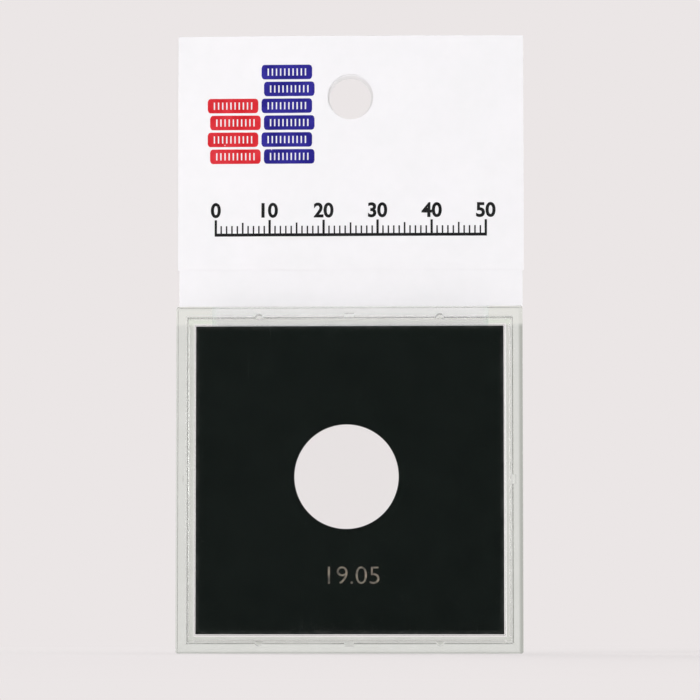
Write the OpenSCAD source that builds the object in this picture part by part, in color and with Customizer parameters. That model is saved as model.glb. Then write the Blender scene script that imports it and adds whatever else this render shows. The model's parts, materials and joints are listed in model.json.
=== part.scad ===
// Plastic coin holder on a hang header, in millimetres.
// A clear back cover with a wall takes a clear front cover, and a black insert with
// a coin hole lies between their plates. A white film header hangs it from a peg.
// Frame: +X right, +Z up, front towards -Y, origin in the middle of the hang hole.

/* [Case] */
// Width and height of the square case
case_w = 63.5; // [56:0.5:90]
// Radius of the case's outer corners
corner_r = 0.4; // [0.2:0.1:1.4]
// Thickness of the back cover's plate
back_t = 2.3; // [1.2:0.1:4]
// Thickness of the front cover's plate
front_t = 2.3; // [1.4:0.1:4]
// Thickness of the wall around the back cover
wall_t = 2.0; // [1.6:0.1:4]
// Thickness of the rim behind the front cover's plate
rim_t = 1.1; // [0.9:0.1:2]
// Gap between the front cover and the wall on each side
cover_gap = 0.2; // [0.1:0.05:0.4]
// Chamfer on both covers along their joint line
joint_chamfer = 0.3; // [0.1:0.05:0.5]

/* [Keys and pry notches] */
// Distance between the two key ribs on the top or bottom edge
key_spacing = 33.2; // [12:0.2:44]
// Radius of the half-round key ribs
key_r = 0.6; // [0.3:0.05:0.8]
// Clearance around each key rib in its groove
key_gap = 0.2; // [0.1:0.05:0.3]
// Depth of a key rib's end below the front face
key_drop = 0.9; // [0.6:0.1:2]
// Width of the pry notch in the middle of each side
notch_w = 1.7; // [1.2:0.1:6]
// Depth of the pry notch into the wall
notch_in = 0.7; // [0.4:0.1:1.2]
// Depth of the pry notch behind the front face
notch_drop = 0.9; // [0.5:0.1:1.4]

/* [Insert] */
// Thickness of the insert
insert_t = 1.6; // [1.3:0.1:3]
// Free depth of the insert between the two plates
insert_play = 0.16; // [0.1:0.02:0.4]
// Gap between the insert and the rim on each side
insert_gap = 0.2; // [0.1:0.05:0.5]
// Diameter of the coin
coin_d = 19.05; // [15:0.05:38]
// Clearance on the coin's diameter
coin_gap = 0.15; // [0.1:0.05:0.5]
// Lead-in chamfer at the front edge of the coin hole
coin_lead = 0.1; // [0.1:0.05:0.5]
// Coin hole's centre to the right of the insert's centre
coin_x = -0.6; // [-4:0.1:4]
// Coin hole's centre above the insert's centre
coin_y = 0.6; // [-4:0.1:4]

/* [Header] */
// Overhang of the header past the case on each side
header_over = 0.25; // [0:0.05:1.5]
// Height of the header above the case
header_h = 50.8; // [36:0.1:80]
// Thickness of each ply of film
film_t = 0.2; // [0.1:0.05:0.4]
// Step on each side from the front ply to the narrower back ply
ply_step = 0.25; // [0:0.05:1]
// Height of the strip of back ply that shows below the front ply
bare_strip = 7.2; // [7:0.1:14]
// Diameter of the hang hole in the back ply
hang_d = 7.6; // [5:0.1:10]
// Diameter of the wider hang hole in the front ply
front_hang_d = 8.4; // [7.8:0.1:12]
// Depth of the hang hole's centre below the header's top edge
hang_drop = 11.8; // [8:0.1:16]

/* [Header foot] */
// Width of the foot that is stuck to the back of the case
foot_w = 51; // [20:0.5:55]
// Height of the foot
foot_h = 15; // [13.5:0.5:19]
// Thickness of the adhesive tape behind the case
tape_t = 0.15; // [0.1:0.05:0.3]
// Height of the adhesive tape
tape_h = 8; // [3:0.5:8.5]
// Depth of the tape's top edge below the case's top edge
tape_drop = 4.6; // [1:0.1:5]
// Margin of foot film at each side of the tape
tape_margin = 2.5; // [1:0.1:3.5]
// Height of the fold line above the case's top edge
fold_rise = 0.5; // [0.4:0.05:1]
// Clearance of the film from the fold line's axis
fold_gap = 0.05; // [0.03:0.01:0.1]

/* [Hidden] */

// Facets of the round faces
$fn = 64;
// Overshoot of a cut past the face that it opens
cut = 1;

// Depths from the case's back face
insert_z = back_t + insert_play / 2;
front_z = back_t + insert_t + insert_play;
case_t = front_z + front_t;
notch_z = case_t - notch_drop;

// Widths that nest inside the case
pocket_w = case_w - 2 * wall_t;
cover_w = pocket_w - 2 * cover_gap;
rim_w = cover_w - 2 * rim_t;
insert_w = rim_w - 2 * insert_gap;
coin_hole_d = coin_d + coin_gap;

// Heights from the case's centre
top_y = case_w / 2;
header_y = top_y + header_h;
hang_y = header_y - hang_drop;
front_hang_y = hang_y + (front_hang_d - hang_d) / 2;
fold_y = top_y + fold_rise;
// The film's edge clears the foot when the header folds forwards
panel_y = fold_y + film_t + 2 * fold_gap;
front_ply_w = case_w + 2 * header_over;
back_ply_w = front_ply_w - 2 * ply_step;
// Back face of the film, and the middle of the back ply
film_z = -tape_t - film_t;
hang_z = film_z + film_t / 2;

clear_plastic = [0.82, 0.84, 0.83, 0.35];
black_plastic = [0.08, 0.10, 0.09];
white_film = [0.95, 0.95, 0.96];
clear_tape = [0.90, 0.89, 0.82, 0.6];

// Stands a shape up from the drawing plane: its x stays, its y goes up and its z comes forwards
module upright() {
    translate([0, hang_z, -hang_y]) rotate([90, 0, 0]) children();
}

module rounded_square(w, r) {
    square([w - 2 * r, w], center = true);
    square([w, w - 2 * r], center = true);
    for (sx = [-1, 1], sy = [-1, 1]) {
        translate([sx * (w / 2 - r), sy * (w / 2 - r)]) circle(r);
    }
}

// Bar along y with a trapezoid section, w0 wide at the bottom and w1 at the top
module tapered_bar(w0, w1, h) {
    rotate([90, 0, 0]) linear_extrude(2 * case_w, center = true)
        polygon([[-w0 / 2, 0], [w0 / 2, 0], [w1 / 2, h], [-w1 / 2, h]]);
}

// Square block with four sloping sides
module tapered_square(w0, w1, h) {
    intersection() {
        tapered_bar(w0, w1, h);
        rotate([0, 0, 90]) tapered_bar(w0, w1, h);
    }
}

// Places its children at the four key ribs, on the front cover's edge
module at_keys() {
    for (sx = [-1, 1], sy = [-1, 1]) {
        translate([sx * key_spacing / 2, sy * cover_w / 2, back_t]) children();
    }
}

// Shallow cuts into the wall at the middle of each side
module pry_cuts() {
    for (side = [0 : 3]) {
        rotate([0, 0, 90 * side]) translate([cover_w / 2, -notch_w / 2, notch_z])
            cube([cover_gap + notch_in, notch_w, notch_drop + cut]);
    }
}

module film_ply(w, y0, y1, hole_y, hole_d) {
    linear_extrude(film_t) difference() {
        translate([-w / 2, y0]) square([w, y1 - y0]);
        translate([0, hole_y]) circle(d = hole_d);
    }
}

module back_cover() {
    color(clear_plastic) upright() difference() {
        linear_extrude(case_t) rounded_square(case_w, corner_r);
        translate([0, 0, back_t]) linear_extrude(case_t) square(pocket_w, center = true);
        translate([0, 0, case_t - joint_chamfer])
            tapered_square(pocket_w, pocket_w + 4 * joint_chamfer, 2 * joint_chamfer);
        at_keys() cylinder(r = key_r + key_gap, h = case_t);
        pry_cuts();
    }
}

module front_cover() {
    color(clear_plastic) upright() {
        difference() {
            union() {
                translate([0, 0, back_t]) linear_extrude(case_t - joint_chamfer - back_t)
                    square(cover_w, center = true);
                translate([0, 0, case_t - joint_chamfer])
                    tapered_square(cover_w, cover_w - 2 * joint_chamfer, joint_chamfer);
                at_keys() cylinder(r = key_r, h = case_t - key_drop - back_t);
            }
            translate([0, 0, back_t - cut]) linear_extrude(front_z - back_t + cut)
                square(rim_w, center = true);
        }
    }
}

module insert() {
    color(black_plastic) upright() translate([0, 0, insert_z]) difference() {
        linear_extrude(insert_t) square(insert_w, center = true);
        translate([coin_x, coin_y, -cut]) cylinder(d = coin_hole_d, h = insert_t + 2 * cut);
        translate([coin_x, coin_y, insert_t - coin_lead])
            cylinder(d1 = coin_hole_d, d2 = coin_hole_d + 4 * coin_lead, h = 2 * coin_lead);
    }
}

module header_front() {
    color(white_film) upright() translate([0, 0, film_z + film_t])
        film_ply(front_ply_w, top_y + bare_strip, header_y, front_hang_y, front_hang_d);
}

module header_back() {
    color(white_film) upright() translate([0, 0, film_z])
        film_ply(back_ply_w, panel_y, header_y, hang_y, hang_d);
}

module header_foot() {
    color(white_film) upright() translate([-foot_w / 2, top_y - foot_h, film_z])
        cube([foot_w, fold_y - fold_gap - top_y + foot_h, film_t]);
}

module header_tape() {
    tape_w = foot_w - 2 * tape_margin;
    color(clear_tape) upright() translate([-tape_w / 2, top_y - tape_drop - tape_h, -tape_t])
        cube([tape_w, tape_h, tape_t]);
}

back_cover();
front_cover();
insert();
header_front();
header_back();
header_foot();
header_tape();
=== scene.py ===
"""Dresses the plastic coin holder: clear covers, a black insert and a white film header."""
import json
import logging
import math
from abc import ABC, abstractmethod
from collections.abc import Callable, Sequence
from dataclasses import dataclass, field
from enum import Enum

import bmesh
import bpy
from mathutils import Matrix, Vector, noise


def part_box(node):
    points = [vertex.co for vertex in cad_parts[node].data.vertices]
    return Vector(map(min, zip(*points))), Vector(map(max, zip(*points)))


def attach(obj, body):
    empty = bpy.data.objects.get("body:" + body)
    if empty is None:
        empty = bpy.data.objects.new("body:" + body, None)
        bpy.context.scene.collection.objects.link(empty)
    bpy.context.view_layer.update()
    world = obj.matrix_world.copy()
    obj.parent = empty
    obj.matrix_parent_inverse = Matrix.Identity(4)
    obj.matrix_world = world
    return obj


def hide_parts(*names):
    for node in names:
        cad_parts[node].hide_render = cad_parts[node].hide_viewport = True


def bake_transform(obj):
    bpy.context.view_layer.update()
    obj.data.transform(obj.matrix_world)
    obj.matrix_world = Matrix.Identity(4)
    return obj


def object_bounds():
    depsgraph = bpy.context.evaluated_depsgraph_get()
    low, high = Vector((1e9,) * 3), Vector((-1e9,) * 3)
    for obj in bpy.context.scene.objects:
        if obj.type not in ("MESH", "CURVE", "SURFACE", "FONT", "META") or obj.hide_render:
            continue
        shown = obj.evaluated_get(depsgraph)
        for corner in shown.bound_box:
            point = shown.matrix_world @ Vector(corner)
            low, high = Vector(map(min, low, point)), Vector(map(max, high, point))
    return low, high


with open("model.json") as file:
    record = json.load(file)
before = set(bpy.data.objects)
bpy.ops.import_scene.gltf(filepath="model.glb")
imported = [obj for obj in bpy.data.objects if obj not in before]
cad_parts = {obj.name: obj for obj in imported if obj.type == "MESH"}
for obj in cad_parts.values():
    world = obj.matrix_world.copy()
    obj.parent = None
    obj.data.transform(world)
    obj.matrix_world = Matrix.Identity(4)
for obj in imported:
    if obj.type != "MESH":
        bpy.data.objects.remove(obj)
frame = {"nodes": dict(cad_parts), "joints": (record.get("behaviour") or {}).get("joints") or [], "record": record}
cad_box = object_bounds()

LOG = logging.getLogger("coin_holder")
MM = 0.001
# Points that lie closer than this are one point
WELD = 0.001 * MM
# Faces that meet at more than this angle keep a sharp edge
SHARP = math.radians(40.0)
# Share of a step that rounding may add to a row of grid lines
ROUNDING = 1e-6
# Steps in a digit's curves, and what counts as one point of it, before the digit is scaled
TYPE_STEPS = 8
TYPE_WELD = 1e-5

Colour = tuple[float, float, float, float]
Point = tuple[float, float, float]
Socket = bpy.types.NodeSocket
Setting = float | str | Colour | Point | Socket


class Body(Enum):
    """Bodies of the frame that pieces ride on."""

    HEADER = "header"
    CASE = "case"
    FRONT_COVER = "front_cover"
    INSERT = "insert"


class Slot(Enum):
    """Material slots of the record."""

    CLEAR_PLASTIC = "clear_plastic"
    BLACK_PLASTIC = "black_plastic"
    WHITE_FILM = "white_film"
    CLEAR_TAPE = "clear_tape"
    FOIL = "foil"
    BLACK_INK = "black_ink"
    RED_INK = "red_ink"
    BLUE_INK = "blue_ink"


class Graph:
    """Adds and links the nodes of one material, world or node group."""

    def __init__(self, tree: bpy.types.NodeTree) -> None:
        """Starts with the tree to add to."""
        self.tree = tree

    def feed(self, target: Socket, value: Setting) -> None:
        """Links a socket into an input, or sets the input to a constant.

        Args:
            target: Input to feed.
            value: Socket to link from, or the constant.
        """
        if isinstance(value, Socket):
            self.tree.links.new(value, target)
        else:
            target.default_value = value

    def node(self, kind: str, values: dict[str | int, Setting] | None = None,
             **options: Setting) -> bpy.types.Node:
        """Adds one node.

        Args:
            kind: Name of the node type.
            values: Input names or numbers, each with a constant or a socket to link from.
            options: Properties of the node, such as its operation.

        Returns:
            The new node.
        """
        made = self.tree.nodes.new(kind)
        for name, option in options.items():
            setattr(made, name, option)
        for name, value in (values or {}).items():
            self.feed(made.inputs[name], value)
        return made

    def math(self, operation: str, first: Setting, second: Setting = 0.0) -> Socket:
        """Adds a Math node for one or two numbers or sockets, and gives its result."""
        return self.node("ShaderNodeMath", {0: first, 1: second}, operation=operation).outputs[0]

    def remap(self, value: Setting, source: tuple[Setting, Setting], target: tuple[Setting, Setting],
              curve: str = "LINEAR") -> Socket:
        """Maps a value from one range to another and clamps it.

        Args:
            value: Value to map.
            source: Range that the value comes from.
            target: Range that the result lies in.
            curve: Interpolation between the two ends.

        Returns:
            The result's socket.
        """
        ranges = {"Value": value, "From Min": source[0], "From Max": source[1],
                  "To Min": target[0], "To Max": target[1]}
        made = self.node("ShaderNodeMapRange", ranges, interpolation_type=curve, clamp=True)
        return made.outputs["Result"]

    def mix(self, share: Setting, first: Setting, second: Setting) -> Socket:
        """Mixes two colours by the share of the second, and gives the mixed colour."""
        # The node's inputs 6 and 7 and its output 2 are its colours
        return self.node("ShaderNodeMix", {0: share, 6: first, 7: second}, data_type="RGBA").outputs[2]

    def effect(self, shared: "Effect", **values: Setting) -> Socket:
        """Places a shared effect.

        Args:
            shared: Effect to place.
            values: Inputs of its group, with underscores for spaces.

        Returns:
            The group's output.
        """
        placed = self.node("ShaderNodeGroup", node_tree=shared.group())
        for name, value in values.items():
            self.feed(placed.inputs[name.replace("_", " ")], value)
        return placed.outputs[0]

    def bump(self, height: Setting, depth: float) -> Socket:
        """Turns a height from 0 to 1 into a normal, for a relief of a depth in metres."""
        relief = {"Strength": 1.0, "Distance": depth, "Height": height}
        return self.node("ShaderNodeBump", relief).outputs["Normal"]


def blank_graph(owner: bpy.types.Material | bpy.types.World) -> Graph:
    """Clears the nodes of a material or world.

    Args:
        owner: Material or world to clear.

    Returns:
        Its empty graph.
    """
    owner.use_nodes = True
    owner.node_tree.nodes.clear()
    return Graph(owner.node_tree)


class Effect(ABC):
    """A surface effect that several finishes share, built once as a node group with one output."""

    name: str
    output: str
    inputs: dict[str, float]

    @abstractmethod
    def fill(self, graph: Graph, place: Socket, given: bpy.types.NodeOutputs) -> Socket:
        """Adds the effect's nodes.

        Args:
            graph: Graph of the group.
            place: Socket of the place on the object.
            given: Sockets of the group's inputs.

        Returns:
            The socket of the effect.
        """

    def group(self) -> bpy.types.NodeTree:
        """Gives the effect's node group.

        Returns:
            The group, made the first time that it is asked for.
        """
        if self.name in bpy.data.node_groups:
            return bpy.data.node_groups[self.name]
        tree = bpy.data.node_groups.new(self.name, "ShaderNodeTree")
        tree.interface.new_socket(self.output, in_out="OUTPUT", socket_type="NodeSocketFloat")
        for label, default in self.inputs.items():
            made = tree.interface.new_socket(label, in_out="INPUT", socket_type="NodeSocketFloat")
            made.default_value = default
        graph = Graph(tree)
        given = graph.node("NodeGroupInput").outputs
        place = graph.node("ShaderNodeTexCoord").outputs["Object"]
        graph.node("NodeGroupOutput", {0: self.fill(graph, place, given)})
        return tree


class CloudyShade(Effect):
    """Soft cloudy shade from Low to High."""

    name = "cloudy_shade"
    output = "Shade"
    inputs = {"Scale": 100.0, "Low": 0.0, "High": 1.0}

    def fill(self, graph: Graph, place: Socket, given: bpy.types.NodeOutputs) -> Socket:
        """Adds the effect's nodes, described in the base class."""
        cloud = graph.node("ShaderNodeTexNoise", {"Vector": place, "Scale": given["Scale"],
                                                  "Detail": 4.0, "Roughness": 0.55})
        return graph.remap(cloud.outputs[0], (0.32, 0.68), (given["Low"], given["High"]))


class Hairlines(Effect):
    """Fine straight scratches in two directions, broken into short runs."""

    name = "hairlines"
    output = "Lines"
    inputs = {"Scale": 900.0, "Width": 0.012}
    turns = (math.radians(24.0), math.radians(-61.0))
    stretch = (1.0, 1.0, 0.04)

    def fill(self, graph: Graph, place: Socket, given: bpy.types.NodeOutputs) -> Socket:
        """Adds the effect's nodes.

        Args:
            graph: Graph of the group.
            place: Socket of the place on the object.
            given: Sockets of the group's inputs.

        Returns:
            The socket of the effect.
        """
        runs = []
        for turn in self.turns:
            turned = graph.node("ShaderNodeMapping", {"Vector": place, "Rotation": (0.0, turn, 0.0),
                                                      "Scale": self.stretch})
            streak = graph.node("ShaderNodeTexNoise", {"Vector": turned.outputs[0],
                                                       "Scale": given["Scale"], "Detail": 0.0})
            off_middle = graph.math("ABSOLUTE", graph.math("SUBTRACT", streak.outputs[0], 0.5))
            runs.append(graph.remap(off_middle, (0.0, given["Width"]), (1.0, 0.0)))
        broken = graph.node("ShaderNodeTexNoise", {"Vector": place, "Scale": 160.0, "Detail": 2.0})
        kept = graph.remap(broken.outputs[0], (0.52, 0.66), (0.0, 1.0))
        return graph.math("MULTIPLY", graph.math("MAXIMUM", *runs), kept)


class SquareEdge(Effect):
    """Mask that rises from 0 to 1 over Reach, up to Half Width from the middle of an upright square.

    Across is 1 for all four sides of the square and 0 for its top and bottom alone.
    """

    name = "square_edge"
    output = "Edge"
    inputs = {"Centre X": 0.0, "Centre Z": 0.0, "Half Width": 0.03, "Reach": 0.001, "Across": 1.0}

    def fill(self, graph: Graph, place: Socket, given: bpy.types.NodeOutputs) -> Socket:
        """Adds the effect's nodes.

        Args:
            graph: Graph of the group.
            place: Socket of the place on the object.
            given: Sockets of the group's inputs.

        Returns:
            The socket of the effect.
        """
        axes = graph.node("ShaderNodeSeparateXYZ", {0: place}).outputs
        aside, along = (graph.math("ABSOLUTE", graph.math("SUBTRACT", axes[axis], given["Centre " + axis]))
                        for axis in "XZ")
        out = graph.math("MAXIMUM", graph.math("MULTIPLY", aside, given["Across"]), along)
        start = graph.math("SUBTRACT", given["Half Width"], given["Reach"])
        return graph.remap(out, (start, given["Half Width"]), (0.0, 1.0), "SMOOTHSTEP")


class FineGrain(Effect):
    """Height of a fine moulded or rolled grain."""

    name = "fine_grain"
    output = "Height"
    inputs = {"Scale": 3000.0}

    def fill(self, graph: Graph, place: Socket, given: bpy.types.NodeOutputs) -> Socket:
        """Adds the effect's nodes, described in the base class."""
        fine = graph.node("ShaderNodeTexNoise", {"Vector": place, "Scale": given["Scale"], "Detail": 3.0})
        return fine.outputs[0]


class Specks(Effect):
    """Mask of small scattered specks of dust or pinholes."""

    name = "specks"
    output = "Specks"
    inputs = {"Scale": 400.0, "Size": 0.12, "Share": 0.15}

    def fill(self, graph: Graph, place: Socket, given: bpy.types.NodeOutputs) -> Socket:
        """Adds the effect's nodes.

        Args:
            graph: Graph of the group.
            place: Socket of the place on the object.
            given: Sockets of the group's inputs.

        Returns:
            The socket of the effect.
        """
        cells = graph.node("ShaderNodeTexVoronoi", {"Vector": place, "Scale": given["Scale"]}).outputs
        dot = graph.remap(cells["Distance"], (0.0, given["Size"]), (1.0, 0.0), "SMOOTHSTEP")
        chance = graph.node("ShaderNodeSeparateColor", {0: cells["Color"]}).outputs[0]
        return graph.math("MULTIPLY", dot, graph.math("LESS_THAN", chance, given["Share"]))


CLOUDS = CloudyShade()
HAIRLINES = Hairlines()
EDGE = SquareEdge()
GRAIN = FineGrain()
SPECKS = Specks()


@dataclass(frozen=True)
class Finish(ABC):
    """One finish, made into a material the first time that it is asked for."""

    name: str

    @abstractmethod
    def paint(self, graph: Graph) -> Socket:
        """Adds the finish's nodes.

        Args:
            graph: Graph of the material.

        Returns:
            The surface shader's socket.
        """

    def material(self) -> bpy.types.Material:
        """Gives the material of this finish.

        Returns:
            The material, which pieces with the same finish share.
        """
        found = bpy.data.materials.get("finish_" + self.name)
        if found:
            return found
        made = bpy.data.materials.new("finish_" + self.name)
        graph = blank_graph(made)
        graph.node("ShaderNodeOutputMaterial", {"Surface": self.paint(graph)})
        return made


@dataclass(frozen=True)
class ClearPlastic(Finish):
    """Clear polished plastic, a little milky where it is cut and handled around the border, with painted light
    that makes the top band clearer and a painted dark line along the outer rim.
    """

    centre_z: float
    clear_half: float
    outer_half: float
    film_half: float
    border: Colour
    shade: Colour
    # Painted shade: a darker tint along each cover's outer rim, standing in for the dark line that the clear edge
    # shows there, and the sideways shift of that line
    rim: Colour
    rim_shade_shift: tuple[float, float]
    middle: Colour = (0.998, 0.998, 0.997, 1.0)
    mirror: Colour = (0.25, 0.25, 0.25, 1.0)
    passing: Colour = (0.995, 0.996, 0.994, 1.0)
    # Painted light: clearer tints for the border's top band, where the lit film shows behind, and for its corners
    # beside the film, and the share of the band's tint that they replace
    top: Colour = (0.995, 0.994, 0.968, 1.0)
    corner: Colour = (0.946, 0.986, 0.934, 1.0)
    top_light_share: float = 0.9
    # Painted shade: share of the dark rim band that the top corners keep
    corner_rim_shade: float = 0.2
    border_reach: float = 0.1 * MM
    top_reach: float = 0.6 * MM
    corner_reach: float = 1.5 * MM
    # Painted shade: width of the dark rim band
    rim_shade_reach: float = 0.55 * MM
    polished: float = 0.015
    handled: float = 0.10
    marked: float = 0.12
    swell_depth: float = 0.004 * MM

    def paint(self, graph: Graph) -> Socket:
        """Adds the finish's nodes.

        Args:
            graph: Graph of the material.

        Returns:
            The surface shader's socket.
        """
        edge = graph.effect(EDGE, Centre_Z=self.centre_z, Half_Width=self.clear_half,
                            Reach=self.border_reach)
        colour = graph.mix(edge, self.middle, self._tint(graph))
        lines = graph.effect(HAIRLINES, Scale=700.0, Width=0.010)
        dust = graph.effect(SPECKS, Scale=420.0, Size=0.10, Share=0.10)
        marks = graph.math("MULTIPLY", graph.math("MAXIMUM", lines, dust), self.marked)
        roughness = graph.math("ADD", graph.remap(edge, (0.0, 1.0), (self.polished, self.handled)), marks)
        swell = graph.effect(CLOUDS, Scale=120.0)
        plastic = graph.node("ShaderNodeBsdfPrincipled", {
            "Base Color": colour, "Roughness": roughness, "IOR": 1.49, "Specular Tint": self.mirror,
            "Transmission Weight": 1.0, "Normal": graph.bump(swell, self.swell_depth)}).outputs[0]
        passing = graph.node("ShaderNodeBsdfTransparent", {"Color": self.passing}).outputs[0]
        path = graph.node("ShaderNodeLightPath").outputs
        light = graph.math("MAXIMUM", path["Is Shadow Ray"], path["Is Diffuse Ray"])
        return graph.node("ShaderNodeMixShader", {0: light, 1: plastic, 2: passing}).outputs[0]

    def _tint(self, graph: Graph) -> Socket:
        """Adds the border's tint, with painted light that makes it clearer along the top and painted shade that
        darkens it at the outer rim.

        Args:
            graph: Graph of the material.

        Returns:
            The tint's socket.
        """
        milky = graph.mix(graph.effect(CLOUDS, Scale=260.0), self.border, self.shade)
        # Painted light: the band above the clear middle swaps most of its tint for a clearer one, most of all
        # where the film lies behind
        top = graph.effect(EDGE, Centre_Z=self.centre_z - self.clear_half, Half_Width=2.0 * self.clear_half,
                           Reach=self.top_reach, Across=0.0)
        corner = graph.effect(EDGE, Centre_Z=self.centre_z + self.clear_half, Half_Width=self.film_half,
                              Reach=self.corner_reach)
        clearer = graph.mix(corner, self.top, self.corner)
        milky = graph.mix(graph.math("MULTIPLY", top, self.top_light_share), milky, clearer)
        # Painted shade: the dark band along the outer rim, left off the top band except for a little at its
        # corners
        outer = graph.effect(EDGE, Centre_X=self.rim_shade_shift[0], Centre_Z=self.centre_z + self.rim_shade_shift[1],
                             Half_Width=self.outer_half, Reach=self.rim_shade_reach)
        kept = graph.math("MULTIPLY", corner, self.corner_rim_shade)
        spared = graph.math("MULTIPLY", top, graph.math("SUBTRACT", 1.0, kept))
        rim = graph.math("MULTIPLY", outer, graph.math("SUBTRACT", 1.0, spared))
        return graph.mix(rim, milky, self.rim)


@dataclass(frozen=True)
class BlackPlastic(Finish):
    """Flat black sheet plastic with a faint mottle and a painted highlight along its edges."""

    centre_z: float
    half_width: float
    body: Colour = (0.0030, 0.0052, 0.0042, 1.0)
    mottle: Colour = (0.0046, 0.0072, 0.0060, 1.0)
    # Painted highlight: a lighter colour along the insert's edges, and how far in from them it reaches
    edge_highlight: Colour = (0.040, 0.043, 0.040, 1.0)
    edge_highlight_reach: float = 0.9 * MM
    line_gloss: float = -0.08
    grain_depth: float = 0.006 * MM

    def paint(self, graph: Graph) -> Socket:
        """Adds the finish's nodes.

        Args:
            graph: Graph of the material.

        Returns:
            The surface shader's socket.
        """
        cloud = graph.effect(CLOUDS, Scale=190.0)
        # Painted highlight: a lighter band along the insert's edges, made patchy by a cloud noise
        edge = graph.effect(EDGE, Centre_Z=self.centre_z, Half_Width=self.half_width,
                            Reach=self.edge_highlight_reach)
        worn = graph.effect(CLOUDS, Scale=480.0, Low=0.15, High=0.8)
        colour = graph.mix(graph.math("MULTIPLY", edge, worn), graph.mix(cloud, self.body, self.mottle),
                           self.edge_highlight)
        lines = graph.effect(HAIRLINES, Scale=800.0, Width=0.012)
        roughness = graph.math("ADD", graph.remap(cloud, (0.0, 1.0), (0.50, 0.60)),
                               graph.math("MULTIPLY", lines, self.line_gloss))
        grain = graph.effect(GRAIN, Scale=3200.0)
        return graph.node("ShaderNodeBsdfPrincipled", {
            "Base Color": colour, "Roughness": roughness, "IOR": 1.45, "Specular IOR Level": 0.05,
            "Normal": graph.bump(grain, self.grain_depth)}).outputs[0]


@dataclass(frozen=True)
class WhiteFilm(Finish):
    """White film with a soft sheen, cloudy where its plies lie apart, with a painted shade ring around the hang
    hole where one is asked for.
    """

    white: Colour = (0.915, 0.908, 0.930, 1.0)
    haze: Colour = (0.875, 0.876, 0.890, 1.0)
    # Painted shade: grey of a ring around the hang hole, which shows in the crescent between the two plies' holes
    # in place of the front ply's shadow; then its radius and the width of its soft edge
    handled: Colour = (0.74, 0.73, 0.73, 1.0)
    hole_shade_r: float = 0.0
    hole_shade_reach: float = 0.5 * MM
    wrinkle_depth: float = 0.02 * MM

    def paint(self, graph: Graph) -> Socket:
        """Adds the finish's nodes.

        Args:
            graph: Graph of the material.

        Returns:
            The surface shader's socket.
        """
        broad = graph.effect(CLOUDS, Scale=70.0, High=0.7)
        small = graph.effect(CLOUDS, Scale=420.0, High=0.3)
        colour = graph.mix(graph.math("ADD", broad, small), self.white, self.haze)
        # Painted shade: within this radius of the hang hole the back ply turns grey, standing in for the front
        # ply's shadow in the crescent
        if self.hole_shade_r:
            place = graph.node("ShaderNodeTexCoord").outputs["Object"]
            off_hole = graph.node("ShaderNodeVectorMath", {0: place}, operation="LENGTH").outputs["Value"]
            ring = graph.remap(off_hole, (self.hole_shade_r, self.hole_shade_r + self.hole_shade_reach), (1.0, 0.0),
                               "SMOOTHSTEP")
            colour = graph.mix(ring, colour, self.handled)
        roughness = graph.effect(CLOUDS, Scale=150.0, Low=0.30, High=0.45)
        wrinkle = graph.effect(GRAIN, Scale=520.0)
        return graph.node("ShaderNodeBsdfPrincipled", {
            "Base Color": colour, "Roughness": roughness, "IOR": 1.49,
            "Normal": graph.bump(wrinkle, self.wrinkle_depth)}).outputs[0]


@dataclass(frozen=True)
class ClearTape(Finish):
    """Hazy double-sided adhesive strip with trapped air."""

    gum: Colour = (0.78, 0.76, 0.66, 1.0)
    air: Colour = (0.88, 0.87, 0.80, 1.0)
    grain_depth: float = 0.01 * MM

    def paint(self, graph: Graph) -> Socket:
        """Adds the finish's nodes.

        Args:
            graph: Graph of the material.

        Returns:
            The surface shader's socket.
        """
        bubbles = graph.effect(SPECKS, Scale=700.0, Size=0.35, Share=0.3)
        cloud = graph.effect(CLOUDS, Scale=300.0, High=0.6)
        colour = graph.mix(graph.math("MAXIMUM", bubbles, cloud), self.gum, self.air)
        roughness = graph.effect(CLOUDS, Scale=500.0, Low=0.35, High=0.55)
        grain = graph.effect(GRAIN, Scale=2400.0)
        return graph.node("ShaderNodeBsdfPrincipled", {
            "Base Color": colour, "Roughness": roughness,
            "Normal": graph.bump(grain, self.grain_depth)}).outputs[0]


@dataclass(frozen=True)
class Foil(Finish):
    """Worn pale foil stamping."""

    bright: Colour = (0.34, 0.30, 0.23, 1.0)
    tarnished: Colour = (0.26, 0.17, 0.13, 1.0)
    worn: Colour = (0.06, 0.057, 0.048, 1.0)
    grain_depth: float = 0.01 * MM

    def paint(self, graph: Graph) -> Socket:
        """Adds the finish's nodes.

        Args:
            graph: Graph of the material.

        Returns:
            The surface shader's socket.
        """
        wear = graph.effect(CLOUDS, Scale=900.0)
        pores = graph.effect(SPECKS, Scale=2600.0, Size=0.4, Share=0.35)
        stain = graph.effect(CLOUDS, Scale=560.0, High=0.5)
        metal = graph.mix(stain, self.bright, self.tarnished)
        colour = graph.mix(graph.math("MAXIMUM", wear, pores), metal, self.worn)
        roughness = graph.remap(wear, (0.0, 1.0), (0.42, 0.62))
        grain = graph.effect(GRAIN, Scale=5000.0)
        return graph.node("ShaderNodeBsdfPrincipled", {
            "Base Color": colour, "Roughness": roughness, "Metallic": 0.3,
            "Normal": graph.bump(grain, self.grain_depth)}).outputs[0]


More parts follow.
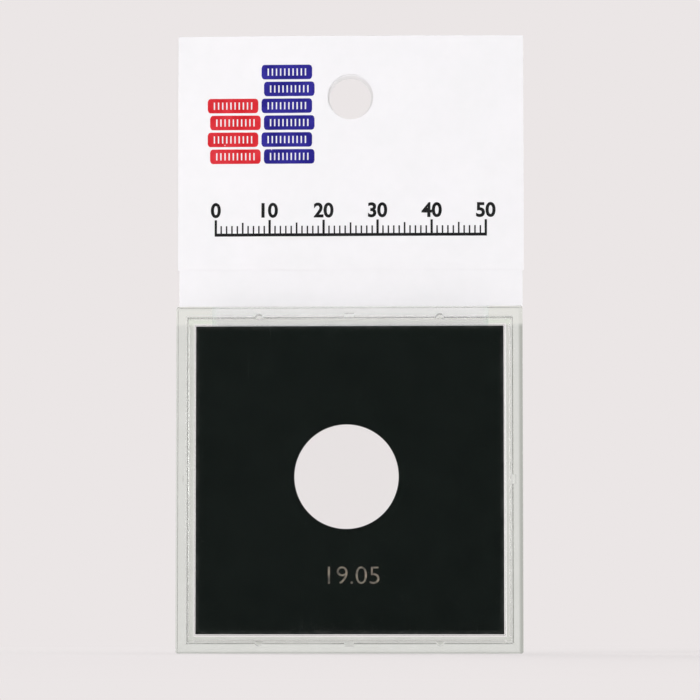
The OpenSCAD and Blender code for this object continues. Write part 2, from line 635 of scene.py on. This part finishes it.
@dataclass(frozen=True)
class PrintInk(Finish):
    """Printing ink on film, laid a little unevenly and with pinholes."""

    solid: Colour
    thin: Colour
    bare: Colour = (0.80, 0.79, 0.80, 1.0)
    grain_depth: float = 0.006 * MM

    def paint(self, graph: Graph) -> Socket:
        """Adds the finish's nodes.

        Args:
            graph: Graph of the material.

        Returns:
            The surface shader's socket.
        """
        laid = graph.effect(CLOUDS, Scale=330.0)
        pinholes = graph.effect(SPECKS, Scale=1500.0, Size=0.28, Share=0.03)
        colour = graph.mix(pinholes, graph.mix(laid, self.solid, self.thin), self.bare)
        roughness = graph.remap(laid, (0.0, 1.0), (0.36, 0.50))
        grain = graph.effect(GRAIN, Scale=2600.0)
        return graph.node("ShaderNodeBsdfPrincipled", {
            "Base Color": colour, "Roughness": roughness, "IOR": 1.45, "Specular IOR Level": 0.2,
            "Normal": graph.bump(grain, self.grain_depth)}).outputs[0]


def finished(shape: bmesh.types.BMesh, name: str) -> bpy.types.Object:
    """Turns a bmesh into a smooth-shaded object in the scene.

    Args:
        shape: Shape to take, which is freed.
        name: Name of the object and its mesh.

    Returns:
        The new object.
    """
    mesh = bpy.data.meshes.new(name)
    shape.to_mesh(mesh)
    shape.free()
    mesh.polygons.foreach_set("use_smooth", [True] * len(mesh.polygons))
    made = bpy.data.objects.new(name, mesh)
    bpy.context.scene.collection.objects.link(made)
    return made


def thickened(shape: bmesh.types.BMesh, name: str, thickness: Callable[[float], float]) -> bpy.types.Object:
    """Makes a thin closed piece from its back face.

    Args:
        shape: Back face, which is freed.
        name: Name of the new piece.
        thickness: Thickness at a height.

    Returns:
        The new piece.
    """
    grown = bmesh.ops.extrude_face_region(shape, geom=shape.faces[:], use_keep_orig=True)
    for item in grown["geom"]:
        if isinstance(item, bmesh.types.BMVert):
            item.co.y -= thickness(item.co.z)
    bmesh.ops.recalc_face_normals(shape, faces=shape.faces)
    made = finished(shape, name)
    made.data.set_sharp_from_angle(angle=SHARP)
    return made


def pressed(shape: bmesh.types.BMesh, name: str, surface: Callable[[float, float], float],
            thickness: float) -> bpy.types.Object:
    """Lays flat faces on a surface and gives them a thickness in front of it.

    Args:
        shape: Flat upright faces, which are freed.
        name: Name of the new piece.
        surface: Depth of the surface at a place across and a height.
        thickness: Thickness of the layer.

    Returns:
        The new piece.
    """
    for vert in shape.verts:
        vert.co.y = surface(vert.co.x, vert.co.z)
    return thickened(shape, name, lambda z: thickness)


def flat_digits(words: str, height: float, weight: float, width: float | None = None) -> bmesh.types.BMesh:
    """Writes digits as flat upright faces, centred on the origin.

    Args:
        words: Digits to write.
        height: Height of the row.
        weight: Share of the type size that the strokes gain at each side.
        width: Width of the row, where it differs from the type's own.

    Returns:
        The flat shape.
    """
    curve = bpy.data.curves.new("digits", "FONT")
    curve.body = words
    curve.offset = weight
    curve.resolution_u = TYPE_STEPS
    written = bpy.data.objects.new("digits", curve)
    bpy.context.scene.collection.objects.link(written)
    seen = written.evaluated_get(bpy.context.evaluated_depsgraph_get())
    shape = bmesh.new()
    shape.from_mesh(seen.to_mesh())
    bpy.data.objects.remove(written)
    bpy.data.curves.remove(curve)
    bmesh.ops.remove_doubles(shape, verts=shape.verts, dist=TYPE_WELD)
    low = Vector([min(v.co[k] for v in shape.verts) for k in range(2)])
    size = Vector([max(v.co[k] for v in shape.verts) for k in range(2)]) - low
    tall = height / size.y
    wide = width / size.x if width else tall
    for vert in shape.verts:
        vert.co = ((vert.co.x - low.x - size.x / 2) * wide, 0.0, (vert.co.y - low.y - size.y / 2) * tall)
    return shape


def ease(share: float) -> float:
    """Smooth step from 0 to 1."""
    held = min(1.0, max(0.0, share))
    return held * held * (3.0 - 2.0 * held)


def spaced(stops: Sequence[float], steps: Sequence[float]) -> list[float]:
    """Lays even grid lines between stops.

    Args:
        stops: Places that have to have a line.
        steps: Largest step between each stop and the next.

    Returns:
        The places of all lines.
    """
    lines = [stops[0]]
    for start, stop, step in zip(stops, stops[1:], steps):
        count = math.ceil((stop - start) / step - ROUNDING)
        lines += [start + (stop - start) * (k + 1) / count for k in range(count)]
    return lines


def nearest(lines: Sequence[float], place: float) -> int:
    """Gives the number of the grid line that lies nearest to a place."""
    return min(range(len(lines)), key=lambda k: abs(lines[k] - place))


def coat(piece: bpy.types.Object, finish: Finish, slot: Slot) -> None:
    """Gives a piece its only material.

    Args:
        piece: Piece to coat.
        finish: Finish to give it.
        slot: Slot of the record that the finish belongs to; not used.
    """
    piece.data.materials.clear()
    piece.data.materials.append(finish.material())


@dataclass(frozen=True)
class EdgeSoftener:
    """Makes a piece from a node of the frame, with its sharp edges broken as on a moulded part."""

    radius: float = 0.12 * MM
    segments: int = 2
    least_turn: float = math.radians(25.0)
    flat: float = math.radians(0.5)
    face_weight: int = 50

    def piece(self, node: str, name: str, seat: float | None = None, lift: float = 0.0) -> bpy.types.Object:
        """Copies a node's shape into a new piece.

        Args:
            node: Name of the node.
            name: Name of the new piece.
            seat: Depth of the faces that rest on the next piece, where there are any.
            lift: Distance by which those faces are drawn forwards.

        Returns:
            The new piece.
        """
        shape = bmesh.new()
        shape.from_mesh(frame["nodes"][node].data)
        bmesh.ops.remove_doubles(shape, verts=shape.verts, dist=WELD)
        if seat is not None:
            for vert in shape.verts:
                if abs(vert.co.y - seat) < WELD:
                    vert.co.y -= lift
        bmesh.ops.dissolve_limit(shape, angle_limit=self.flat, verts=shape.verts, edges=shape.edges)
        edges = [e for e in shape.edges if len(e.link_faces) == 2 and e.calc_face_angle() > self.least_turn]
        bmesh.ops.bevel(shape, geom=edges, offset=self.radius, offset_type="OFFSET", segments=self.segments,
                        profile=0.5, affect="EDGES", clamp_overlap=True)
        bmesh.ops.dissolve_degenerate(shape, dist=WELD, edges=shape.edges)
        bmesh.ops.recalc_face_normals(shape, faces=shape.faces)
        made = finished(shape, name)
        weighted = made.modifiers.new("weighted_normals", "WEIGHTED_NORMAL")
        weighted.mode = "FACE_AREA"
        weighted.weight = self.face_weight
        return made


@dataclass
class SubAssembly(ABC):
    """A group of pieces that are built, then dressed."""

    made: list[bpy.types.Object] = field(default_factory=list, init=False)

    @abstractmethod
    def build(self) -> None:
        """Makes the group's meshes and seats them on their bodies."""

    @abstractmethod
    def dress(self) -> None:
        """Gives each piece its finish."""


@dataclass
class Case(SubAssembly):
    """The two clear covers of the case, with the looks of the back one first."""

    softener: EdgeSoftener = EdgeSoftener()
    seat_lift: float = 0.04 * MM
    border_start: float = 0.5 * MM
    borders: tuple[Colour, Colour] = ((0.864, 0.905, 0.868, 1.0), (0.940, 0.945, 0.930, 1.0))
    shades: tuple[Colour, Colour] = ((0.820, 0.861, 0.820, 1.0), (0.895, 0.902, 0.882, 1.0))
    # Painted shade: each cover's dark tint along its outer rim, and the shift of that band
    rims: tuple[Colour, Colour] = ((0.540, 0.575, 0.535, 1.0), (0.780, 0.784, 0.766, 1.0))
    rim_shade_shifts: tuple[tuple[float, float], ...] = ((-0.38 * MM, -0.05 * MM), (0.0, 0.0))

    def build(self) -> None:
        """Makes both covers, with a film of air where the rim stands on the back plate."""
        back = self.softener.piece("back_cover", "clear_back_cover")
        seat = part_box("front_cover")[1].y
        front = self.softener.piece("front_cover", "clear_front_cover", seat, self.seat_lift)
        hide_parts("back_cover")
        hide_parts("front_cover")
        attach(back, Body.CASE.value)
        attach(front, Body.FRONT_COVER.value)
        self.made = [back, front]

    def dress(self) -> None:
        """Gives both covers the clear plastic."""
        low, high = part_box("insert")
        half = high.x + self.border_start
        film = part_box("header_foot")[1].x
        looks = zip(self.borders, self.shades, self.rims, self.rim_shade_shifts)
        for piece, node, look in zip(self.made, ("back_cover", "front_cover"), looks):
            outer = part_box(node)[1].x
            finish = ClearPlastic(piece.name, (low.z + high.z) / 2, half, outer, film, *look)
            coat(piece, finish, Slot.CLEAR_PLASTIC)


@dataclass
class Insert(SubAssembly):
    """The black insert and the stamped coin size below its hole."""

    softener: EdgeSoftener = EdgeSoftener()
    mark: str = "19.05"
    mark_width: float = 9.4 * MM
    mark_height: float = 3.15 * MM
    mark_weight: float = -0.012
    mark_across: float = 0.75 * MM
    mark_drop: float = 17.45 * MM
    foil_thickness: float = 0.02 * MM

    def build(self) -> None:
        """Makes the plate and its stamped mark."""
        plate = self.softener.piece("insert", "black_insert")
        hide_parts("insert")
        low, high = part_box("insert")
        centre = (low + high) / 2
        digits = flat_digits(self.mark, self.mark_height, self.mark_weight, self.mark_width)
        place = Vector((centre.x + self.mark_across, 0.0, centre.z - self.mark_drop))
        bmesh.ops.translate(digits, vec=place, verts=digits.verts)
        mark = pressed(digits, "foil_mark", lambda x, z: low.y, self.foil_thickness)
        for piece in (plate, mark):
            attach(piece, Body.INSERT.value)
        self.made = [plate, mark]

    def dress(self) -> None:
        """Gives the plate its black plastic and the mark its foil."""
        low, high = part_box("insert")
        black = BlackPlastic("black_plastic", centre_z=(low.z + high.z) / 2, half_width=high.x)
        coat(self.made[0], black, Slot.BLACK_PLASTIC)
        coat(self.made[1], Foil("foil"), Slot.FOIL)


@dataclass
class FilmShape:
    """The gentle waves of the hanging film, as a depth over its face; less is further forwards."""

    fold_z: float
    half_width: float
    top_z: float
    held: float = 1.0 * MM
    release: float = 24.0 * MM
    bow: float = 0.5 * MM
    twist: float = 0.25 * MM
    trough: float = 0.22 * MM
    trough_drop: float = 30.6 * MM
    trough_reach: float = 4.5 * MM
    ripple: float = 0.16 * MM
    ripple_size: float = 11.0 * MM
    pucker: float = 0.16 * MM
    pucker_at: tuple[float, float] = (9.6 * MM, -15.4 * MM)
    pucker_turn: float = math.radians(40.0)
    pucker_half: float = 3.2 * MM
    pucker_reach: float = 0.55 * MM
    crease: float = 0.16 * MM
    crease_top: tuple[float, float] = (-16.2 * MM, -31.7 * MM)
    crease_foot: tuple[float, float] = (-22.1 * MM, -39.1 * MM)
    crease_reach: float = 1.2 * MM
    crease_rise: float = 4.8 * MM
    crease_fade: float = 9.0 * MM

    @classmethod
    def from_frame(cls) -> "FilmShape":
        """Takes the fold line and the header's reach from the frame.

        Returns:
            The waves of this header.
        """
        fold = next(j for j in frame["joints"] if j["name"] == "header_fold")
        _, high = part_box("header_front")
        return cls(fold_z=fold["pos_m"][2], half_width=high.x, top_z=high.z)

    def depth(self, x: float, z: float) -> float:
        """Gives the film's depth at one place.

        Args:
            x: Place to the right of the middle.
            z: Height in the frame.

        Returns:
            Distance behind the flat film.
        """
        free = ease((z - self.fold_z - self.held) / self.release)
        across = x / self.half_width
        bow = -self.bow * (1.0 - across * across)
        lean = self.twist * across * (z - self.fold_z) / (self.top_z - self.fold_z)
        off_trough = (z - (self.top_z - self.trough_drop)) / self.trough_reach
        trough = self.trough * math.exp(-off_trough * off_trough)
        ripple = self.ripple * noise.noise(Vector((x, z, 0.0)) / self.ripple_size)
        return free * (bow + lean + trough + ripple - self._pucker(x, z)) - self._crease(x, z)

    def _pucker(self, x: float, z: float) -> float:
        """Height of the short wrinkle beside the middle.

        Args:
            x: Place to the right of the middle.
            z: Height in the frame.

        Returns:
            Height of the wrinkle there.
        """
        dx = x - self.pucker_at[0]
        dz = z - self.pucker_at[1]
        along = (dx * math.cos(self.pucker_turn) + dz * math.sin(self.pucker_turn)) / self.pucker_half
        off = (dz * math.cos(self.pucker_turn) - dx * math.sin(self.pucker_turn)) / self.pucker_reach
        return self.pucker * math.exp(-off * off - along * along)

    def _crease(self, x: float, z: float) -> float:
        """Height of the lifted patch to the left of the slanting crease above the case.

        Args:
            x: Place to the right of the middle.
            z: Height in the frame.

        Returns:
            Height of the patch there.
        """
        start = Vector(self.crease_top)
        run = Vector(self.crease_foot) - start
        side = (run.x * (z - start.y) - run.y * (x - start.x)) / run.length
        patch = ease(0.5 - side / self.crease_reach) * math.exp(-(side / self.crease_fade) ** 2)
        near_fold = ease((z - self.fold_z) / self.crease_rise)
        high = ease((start.y + self.crease_fade - z) / self.crease_fade)
        return self.crease * patch * near_fold * high


@dataclass
class FilmPly:
    """One ply of film with a round hole, as a grid that runs into rings around the hole."""

    name: str
    low: Vector
    high: Vector
    middle_y: float
    thickness: float
    hole_z: float
    hole_r: float
    fold_z: float | None = None
    foot_half: float = 0.0
    sealed: float = 0.0
    block: float = 6.0 * MM
    step: float = 0.9 * MM
    fold_reach: float = 2.0 * MM
    fold_step: float = 0.25 * MM
    seal_share: float = 0.15
    rings: int = 4

    def build(self, shape: FilmShape) -> bpy.types.Object:
        """Makes the ply as a thin closed solid.

        Args:
            shape: Waves that the ply takes.

        Returns:
            The new piece.
        """
        film = bmesh.new()
        sides = [self.low.x, -self.block, self.block, self.high.x]
        stops = [self.low.z, self.hole_z - self.block, self.hole_z + self.block, self.high.z]
        steps = [self.step, self.step, self.step]
        if self.fold_z is not None:
            sides[1:1] = [-self.foot_half]
            sides[-1:-1] = [self.foot_half]
            stops[1:1] = [self.fold_z - self.fold_reach, self.fold_z, self.fold_z + self.fold_reach]
            steps[1:1] = [self.fold_step, self.fold_step, self.step]
        if self.sealed:
            stops[1:1] = [self.low.z + self.sealed]
            steps[0:0] = [self.fold_step]
        self._lay(film, spaced(sides, [self.step] * (len(sides) - 1)), spaced(stops, steps))
        for vert in film.verts:
            vert.co.y = self.middle_y + self.thickness / 2 + shape.depth(vert.co.x, vert.co.z)
        return thickened(film, self.name, self._thickness_at)

    def _thickness_at(self, z: float) -> float:
        """Gives the film's thickness, which runs out towards a sealed lower edge.

        Args:
            z: Height in the frame.

        Returns:
            Thickness at that height.
        """
        if not self.sealed:
            return self.thickness
        free = ease((z - self.low.z) / self.sealed)
        return self.thickness * (self.seal_share + (1.0 - self.seal_share) * free)

    def _lay(self, film: bmesh.types.BMesh, columns: list[float], rows: list[float]) -> None:
        """Lays the flat grid and the rings around the hole.

        Args:
            film: Mesh to add to.
            columns: Places of the grid's columns.
            rows: Heights of the grid's rows.
        """
        left, right = (nearest(columns, side * self.block) for side in (-1, 1))
        foot, head = (nearest(rows, self.hole_z + side * self.block) for side in (-1, 1))
        corner = {(i, j): film.verts.new((x, 0.0, z))
                  for i, x in enumerate(columns) for j, z in enumerate(rows)
                  if not (left < i < right and foot < j < head)}
        for i in range(len(columns) - 1):
            for j in range(len(rows) - 1):
                in_block = left <= i < right and foot <= j < head
                if not in_block and not self._beside_foot(columns[i:i + 2], rows[j]):
                    film.faces.new([corner[i, j], corner[i + 1, j], corner[i + 1, j + 1], corner[i, j + 1]])
        around = [(i, foot) for i in range(left, right)] + [(right, j) for j in range(foot, head)]
        around += [(i, head) for i in range(right, left, -1)] + [(left, j) for j in range(head, foot, -1)]
        outer = [corner[key] for key in around]
        for ring in range(1, self.rings + 1):
            inner = []
            for i, j in around:
                edge = Vector((columns[i], rows[j] - self.hole_z))
                place = edge.lerp(edge.normalized() * self.hole_r, ring / self.rings)
                inner.append(film.verts.new((place.x, 0.0, place.y + self.hole_z)))
            for k in range(len(around)):
                following = (k + 1) % len(around)
                film.faces.new([outer[k], outer[following], inner[following], inner[k]])
            outer = inner
        bmesh.ops.delete(film, geom=[v for v in film.verts if not v.link_faces], context="VERTS")

    def _beside_foot(self, sides: list[float], z: float) -> bool:
        """Tells whether a cell lies below the fold and beside the narrower foot."""
        return self.fold_z is not None and z < self.fold_z - WELD and abs(sum(sides) / 2) > self.foot_half


@dataclass
class Header(SubAssembly):
    """The two plies of the film header and the tape that holds its foot."""

    front_hole_r: float = 4.2 * MM
    air: float = 0.04 * MM
    seal: float = 1.5 * MM
    bend: float = 1.5 * MM

    def build(self) -> None:
        """Makes the plies with their waves, with closer grid rows around the back ply's fold."""
        hole = next(m for m in frame["record"]["mounts"] if m["name"] == "hang_hole")
        back_hole_r = hole["dims"]["r_mm"] * MM
        shape = FilmShape.from_frame()
        fold_z = shape.fold_z
        front_low, front_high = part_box("header_front")
        foot_low, foot_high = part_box("header_foot")
        back_low, back_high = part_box("header_back")
        thick = back_high.y - back_low.y
        front = FilmPly("film_front", front_low, front_high,
                        middle_y=(front_low.y + front_high.y - self.air) / 2, thickness=thick - self.air,
                        hole_z=self.front_hole_r - back_hole_r, hole_r=self.front_hole_r,
                        sealed=self.seal).build(shape)
        whole_low = Vector((back_low.x, back_low.y, foot_low.z))
        back = FilmPly("film_back", whole_low, back_high, middle_y=(back_low.y + back_high.y) / 2,
                       thickness=thick, hole_z=0.0, hole_r=back_hole_r, fold_z=fold_z,
                       foot_half=foot_high.x).build(shape)
        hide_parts("header_front")
        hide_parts("header_back", "header_foot")
        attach(front, Body.HEADER.value)
        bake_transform(back)
        self.made = [front, back, frame["nodes"]["header_tape"]]

    def dress(self) -> None:
        """Gives the plies their film and the tape its gum."""
        front, back, tape = self.made
        coat(front, WhiteFilm("white_film"), Slot.WHITE_FILM)
        # The back ply gets a painted shade ring around its hang hole.
        coat(back, WhiteFilm("white_film_back", hole_shade_r=self.front_hole_r), Slot.WHITE_FILM)
        for place in tape.material_slots:
            place.material = ClearTape("clear_tape").material()


@dataclass(frozen=True)
class CoinStack:
    """One printed stack of coins, seen from the side."""

    name: str
    across: float
    coins: int
    finish: PrintInk
    slot: Slot
    foot: float = -12.0 * MM
    width: float = 9.4 * MM
    height: float = 2.7 * MM
    pitch: float = 3.15 * MM
    sway: float = 0.45 * MM
    corner: float = 0.6 * MM
    corner_steps: int = 4
    reed: float = 0.5 * MM
    groove: float = 0.26 * MM
    grooved_share: float = 0.5

    def draw(self) -> bmesh.types.BMesh:
        """Draws all coins of the stack as flat faces.

        Returns:
            The flat shape.
        """
        shape = bmesh.new()
        for k in range(self.coins):
            middle = self.across + self.sway * (-1) ** k / 2
            self._coin(shape, middle, self.foot + self.height / 2 + k * self.pitch)
        return shape

    def _coin(self, shape: bmesh.types.BMesh, middle: float, level: float) -> None:
        """Draws one coin's edge with its grooves left bare.

        Args:
            shape: Shape to add to.
            middle: Place of the coin's middle.
            level: Height of the coin's middle.
        """
        flat = self.width / 2 - self.corner
        count = int((2 * flat + self.groove) / (self.reed + self.groove))
        reed = (2 * flat + self.groove) / count - self.groove
        stops = [-self.width / 2, -flat]
        for k in range(count - 1):
            stops += [stops[-1] + reed, stops[-1] + reed + self.groove]
        stops += [flat, self.width / 2]
        corner_step = self.corner / self.corner_steps
        columns = spaced(stops, [corner_step] + [self.width] * (len(stops) - 3) + [corner_step])
        rows = (-1.0, -self.grooved_share, self.grooved_share, 1.0)
        net = []
        for x in columns:
            half = self._half_height(x)
            net.append([shape.verts.new((middle + x, 0.0, level + row * half)) for row in rows])
        for i in range(len(columns) - 1):
            groove = self.corner_steps <= i < len(columns) - 1 - self.corner_steps
            groove = groove and (i - self.corner_steps) % 2 == 1
            for j in range(len(rows) - 1):
                if not (groove and j == 1):
                    shape.faces.new([net[i][j], net[i + 1][j], net[i + 1][j + 1], net[i][j + 1]])

    def _half_height(self, x: float) -> float:
        """Gives half the coin's height at a place from its middle, less at its round corners."""
        past = max(0.0, abs(x) - self.width / 2 + self.corner)
        return self.height / 2 - self.corner + math.sqrt(max(0.0, self.corner ** 2 - past ** 2))


@dataclass
class Print(SubAssembly):
    """The plain print on the header: a measuring scale and two stacks of coins."""

    ink: float = 0.03 * MM
    length: int = 50
    foot: float = -25.5 * MM
    line: float = 0.55 * MM
    minor_tick: tuple[float, float] = (0.26 * MM, 1.4 * MM)
    middle_tick: tuple[float, float] = (0.30 * MM, 2.0 * MM)
    major_tick: tuple[float, float] = (0.42 * MM, 2.5 * MM)
    number_step: int = 10
    number_height: float = 2.8 * MM
    number_gap: float = 0.4 * MM
    number_weight: float = 0.03
    grid: float = 1.0 * MM
    black: PrintInk = PrintInk("black_ink", (0.004, 0.0042, 0.005, 1.0), (0.012, 0.012, 0.013, 1.0))
    red: PrintInk = PrintInk("red_ink", (0.62, 0.010, 0.018, 1.0), (0.72, 0.035, 0.050, 1.0))
    blue: PrintInk = PrintInk("blue_ink", (0.012, 0.008, 0.20, 1.0), (0.030, 0.022, 0.30, 1.0))
    stacks: tuple[CoinStack, ...] = (
        CoinStack("ink_red_coins", -21.6 * MM, 4, red, Slot.RED_INK),
        CoinStack("ink_blue_coins", -11.6 * MM, 6, blue, Slot.BLUE_INK),
    )

    def build(self) -> None:
        """Lays the ink on the front ply."""
        film = FilmShape.from_frame()
        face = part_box("header_front")[0].y

        def surface(x: float, z: float) -> float:
            """Depth of the front ply's face."""
            return face + film.depth(x, z)

        self.made = [pressed(self._scale(), "ink_scale", surface, self.ink)]
        self.made += [pressed(stack.draw(), stack.name, surface, self.ink) for stack in self.stacks]
        for piece in self.made:
            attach(piece, Body.HEADER.value)

    def dress(self) -> None:
        """Gives each printed piece its ink."""
        coat(self.made[0], self.black, Slot.BLACK_INK)
        for piece, stack in zip(self.made[1:], self.stacks):
            coat(piece, stack.finish, stack.slot)

    def _scale(self) -> bmesh.types.BMesh:
        """Draws the scale: a line, a tick for each millimetre and a number for each centimetre.

        Returns:
            The flat shape.
        """
        shape = bmesh.new()
        base = self.foot + self.line
        sides: list[float] = []
        for mark in range(self.length + 1):
            width, height = self._tick(mark)
            sides += [self._place(mark) - width / 2, self._place(mark) + width / 2]
            self._bar(shape, sides[-2:], base, base + height)
        self._bar(shape, sides, self.foot, base)
        bmesh.ops.remove_doubles(shape, verts=shape.verts, dist=WELD)
        level = base + self.major_tick[1] + self.number_gap + self.number_height / 2
        for mark in range(0, self.length + 1, self.number_step):
            self._number(shape, str(mark), self._place(mark), level)
        return shape

    def _place(self, mark: int) -> float:
        """Gives the place of a mark across the header."""
        return (mark - self.length / 2) * MM

    def _tick(self, mark: int) -> tuple[float, float]:
        """Gives the width and height of the tick at a mark."""
        if mark % self.number_step == 0:
            return self.major_tick
        return self.middle_tick if mark % (self.number_step // 2) == 0 else self.minor_tick

    def _bar(self, shape: bmesh.types.BMesh, columns: list[float], foot: float, top: float) -> None:
        """Draws an upright rectangle as a grid that can follow the film.

        Args:
            shape: Shape to add to.
            columns: Places of its sides and of the grid lines between them.
            foot: Height of its lower side.
            top: Height of its upper side.
        """
        rows = spaced([foot, top], [self.grid])
        net = [[shape.verts.new((x, 0.0, z)) for z in rows] for x in columns]
        for i in range(len(columns) - 1):
            for j in range(len(rows) - 1):
                shape.faces.new([net[i][j], net[i + 1][j], net[i + 1][j + 1], net[i][j + 1]])

    def _number(self, shape: bmesh.types.BMesh, words: str, at: float, level: float) -> None:
        """Adds a number to the scale.

        Args:
            shape: Shape to add to.
            words: Number to write.
            at: Place of its middle.
            level: Height of its middle.
        """
        digits = flat_digits(words, self.number_height, self.number_weight)
        bmesh.ops.translate(digits, vec=(at, 0.0, level), verts=digits.verts)
        carried = bpy.data.meshes.new("number")
        digits.to_mesh(carried)
        digits.free()
        shape.from_mesh(carried)
        bpy.data.meshes.remove(carried)


@dataclass(frozen=True)
class Lamp:
    """One soft lamp, aimed at the holder."""

    name: str
    place: Point
    size: tuple[float, float]
    power: float
    seen_through_plastic: bool = True

    def build(self, aim: Vector) -> None:
        """Makes the lamp.

        Args:
            aim: Point that it faces.
        """
        light = bpy.data.lights.new(self.name, "AREA")
        light.shape = "RECTANGLE"
        light.size, light.size_y = self.size
        light.energy = self.power
        lamp = bpy.data.objects.new(self.name, light)
        lamp.location = self.place
        lamp.visible_transmission = self.seen_through_plastic
        lamp.rotation_euler = (aim - Vector(self.place)).to_track_quat("-Z", "Y").to_euler()
        bpy.context.scene.collection.objects.link(lamp)


@dataclass
class Studio:
    """Pale floor, pale surroundings, soft lamps and the camera."""

    pale: Colour = (0.831, 0.791, 0.791, 1.0)
    ambient: Colour = (0.18, 0.18, 0.183, 1.0)
    dim: Colour = (0.045, 0.05, 0.05, 1.0)
    dim_cone: tuple[float, float] = (0.70, 0.92)
    floor_half: float = 3.0
    floor_drop: float = 0.02 * MM
    floor_colour: Colour = (0.955, 0.913, 0.913, 1.0)
    shadow_reach: tuple[float, float] = (0.10, 0.45)
    shadow_share: float = 0.5
    aim: Point = (0.0, -0.003, -0.0468)
    azimuth: float = math.radians(2.5)
    elevation: float = math.radians(-4.0)
    distance: float = 0.75
    frame_width: float = 0.1288
    sensor: float = 36.0
    near: float = 0.01
    lamps: tuple[Lamp, ...] = (
        Lamp("key_lamp", (-0.65, -0.80, 0.22), (0.6, 0.6), 5.78),
        Lamp("fill_lamp", (0.75, -0.68, 0.12), (0.6, 0.5), 3.97),
        Lamp("top_lamp", (0.1, 0.10, 0.75), (0.6, 0.5), 2.6, False),
        Lamp("back_lamp", (-0.45, 0.85, 0.40), (0.6, 0.5), 4.3, False),
    )

    def build(self) -> None:
        """Makes the whole studio."""
        bpy.context.scene.view_settings.view_transform = "Standard"
        self._world()
        self._floor()
        for lamp in self.lamps:
            lamp.build(Vector(self.aim))
        self._camera()

    def _seen(self, graph: Graph) -> tuple[Socket, Socket]:
        """Adds the test for rays that see the surroundings, straight on, in gloss or through glass.

        Args:
            graph: Graph to add to.

        Returns:
            The sockets of that test and of the camera's own rays.
        """
        path = graph.node("ShaderNodeLightPath").outputs
        bent = graph.math("MAXIMUM", path["Is Glossy Ray"], path["Is Transmission Ray"])
        undimmed = graph.math("LESS_THAN", path["Diffuse Depth"], 0.5)
        looked = graph.math("MAXIMUM", path["Is Camera Ray"], graph.math("MULTIPLY", bent, undimmed))
        return looked, path["Is Camera Ray"]

    def _world(self) -> None:
        """Makes the surroundings: pale where seen, dim in front of the holder, and even as light."""
        world = bpy.data.worlds.new("studio_world")
        graph = blank_graph(world)
        seen, straight = self._seen(graph)
        way = graph.node("ShaderNodeTexCoord").outputs["Generated"]
        ahead = graph.math("MULTIPLY", graph.node("ShaderNodeSeparateXYZ", {0: way}).outputs["Y"], -1.0)
        front = graph.remap(ahead, self.dim_cone, (0.0, 1.0), "SMOOTHSTEP")
        hidden = graph.math("MULTIPLY", front, graph.math("SUBTRACT", 1.0, straight))
        around = graph.mix(hidden, self.pale, self.dim)
        colour = graph.mix(seen, self.ambient, around)
        sky = graph.node("ShaderNodeBackground", {"Color": colour, "Strength": 1.0})
        graph.node("ShaderNodeOutputWorld", {"Surface": sky.outputs[0]})
        bpy.context.scene.world = world

    def _floor(self) -> None:
        """Makes the floor, which keeps the shadow near the holder and fades into the surroundings."""
        level = cad_box[0].z - self.floor_drop
        shape = bmesh.new()
        corners = [shape.verts.new((x * self.floor_half, y * self.floor_half, level))
                   for x, y in ((-1, -1), (1, -1), (1, 1), (-1, 1))]
        shape.faces.new(corners)
        floor = finished(shape, "studio_floor")
        material = bpy.data.materials.new("studio_floor")
        graph = blank_graph(material)
        seen, _ = self._seen(graph)
        place = graph.node("ShaderNodeTexCoord").outputs["Object"]
        axes = graph.node("ShaderNodeSeparateXYZ", {0: place}).outputs
        flat = graph.node("ShaderNodeCombineXYZ", {"X": axes["X"], "Y": axes["Y"]}).outputs[0]
        away = graph.node("ShaderNodeVectorMath", {0: flat}, operation="LENGTH").outputs["Value"]
        glow = graph.remap(away, self.shadow_reach, (1.0 - self.shadow_share, 1.0), "SMOOTHSTEP")
        matt = graph.node("ShaderNodeBsdfDiffuse", {"Color": self.floor_colour})
        bright = graph.node("ShaderNodeEmission", {"Color": self.pale, "Strength": 1.0})
        share = graph.math("MULTIPLY", glow, seen)
        surface = graph.node("ShaderNodeMixShader", {0: share, 1: matt.outputs[0], 2: bright.outputs[0]})
        graph.node("ShaderNodeOutputMaterial", {"Surface": surface.outputs[0]})
        floor.data.materials.append(material)

    def _camera(self) -> None:
        """Makes the camera at the photograph's viewing angle."""
        lens = bpy.data.cameras.new("camera")
        lens.sensor_width = self.sensor
        lens.lens = self.sensor * self.distance / self.frame_width
        lens.clip_start = self.near
        camera = bpy.data.objects.new("camera", lens)
        back = Vector((math.sin(self.azimuth) * math.cos(self.elevation),
                       -math.cos(self.azimuth) * math.cos(self.elevation), math.sin(self.elevation)))
        camera.location = Vector(self.aim) + back * self.distance
        camera.rotation_euler = (-back).to_track_quat("-Z", "Y").to_euler()
        bpy.context.scene.collection.objects.link(camera)
        bpy.context.scene.camera = camera


def main() -> None:
    """Builds and dresses the holder in order."""
    logging.basicConfig(level=logging.INFO)
    Studio().build()
    for part in (Case(), Insert(), Header(), Print()):
        part.build()
        part.dress()
        for piece in part.made:
            LOG.info("%s: %s", type(part).__name__, piece.name)


if __name__ == "__main__":
    main()
